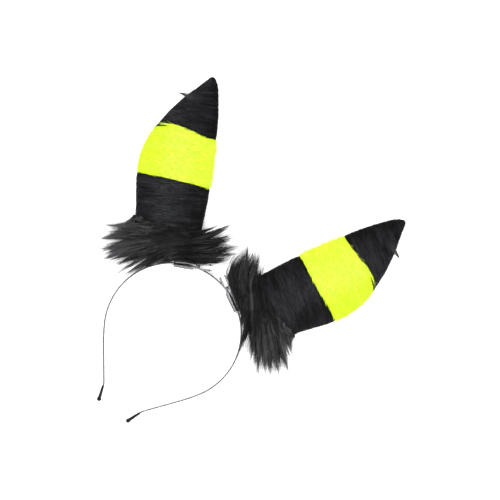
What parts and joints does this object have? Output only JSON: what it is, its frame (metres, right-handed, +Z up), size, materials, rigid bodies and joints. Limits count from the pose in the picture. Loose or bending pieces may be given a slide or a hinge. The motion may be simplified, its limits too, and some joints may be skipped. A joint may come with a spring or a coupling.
{
  "type": "cat ears headband",
  "caption": "Thin sprung wire headband with tall padded plush ears, each with a bright band, a dark tip and a long fur ruff, held on the wire by a sprung hair clip.",
  "frame": {"origin": "on the surface the headband lies on, in the middle of its outline", "axes": "+X across the head towards the wearer's side with the right ear, +Y from the wire's ends towards the tips of the ears, +Z up from the surface, towards the front of the ears"},
  "size_m": [0.2316, 0.2791, 0.0192],
  "materials": {
    "wire_steel": "satin",
    "cap_plastic": "satin",
    "black_plush": "matte",
    "yellow_plush": "matte",
    "black_fur": "matte",
    "clip_steel": "polished"
  },
  "bodies": {
    "headband": {"band_wire": "wire_steel", "tip_cap_right": "cap_plastic", "tip_cap_left": "cap_plastic", "ear_lower_right": "black_plush", "ear_lower_left": "black_plush", "ear_band_right": "yellow_plush", "ear_band_left": "yellow_plush", "ear_tip_right": "black_plush", "ear_tip_left": "black_plush", "ear_ruff_right": "black_fur", "ear_ruff_left": "black_fur", "clip_plate_right": "clip_steel", "clip_plate_left": "clip_steel", "clip_pin_right": "clip_steel", "clip_pin_left": "clip_steel", "clip_spring_right": "clip_steel", "clip_spring_left": "clip_steel"},
    "lever_right": {"clip_lever_right": "clip_steel"},
    "lever_left": {"clip_lever_left": "clip_steel"}
  },
  "joints": [
    {"name": "clip_right", "type": "hinge", "parent": "headband", "child": "lever_right", "pos_m": [0.0157, 0.00302, 0.0074], "axis": [-0.1677, 0.091, -0.9816], "range_deg": [0, 12], "stiffness_Nm_per_rad": 0.1, "springref_deg": -22.92},
    {"name": "clip_left", "type": "hinge", "parent": "headband", "child": "lever_left", "pos_m": [-0.0157, 0.00302, 0.0074], "axis": [-0.1677, -0.091, 0.9816], "range_deg": [0, 12], "stiffness_Nm_per_rad": 0.1, "springref_deg": -22.92}
  ]
}
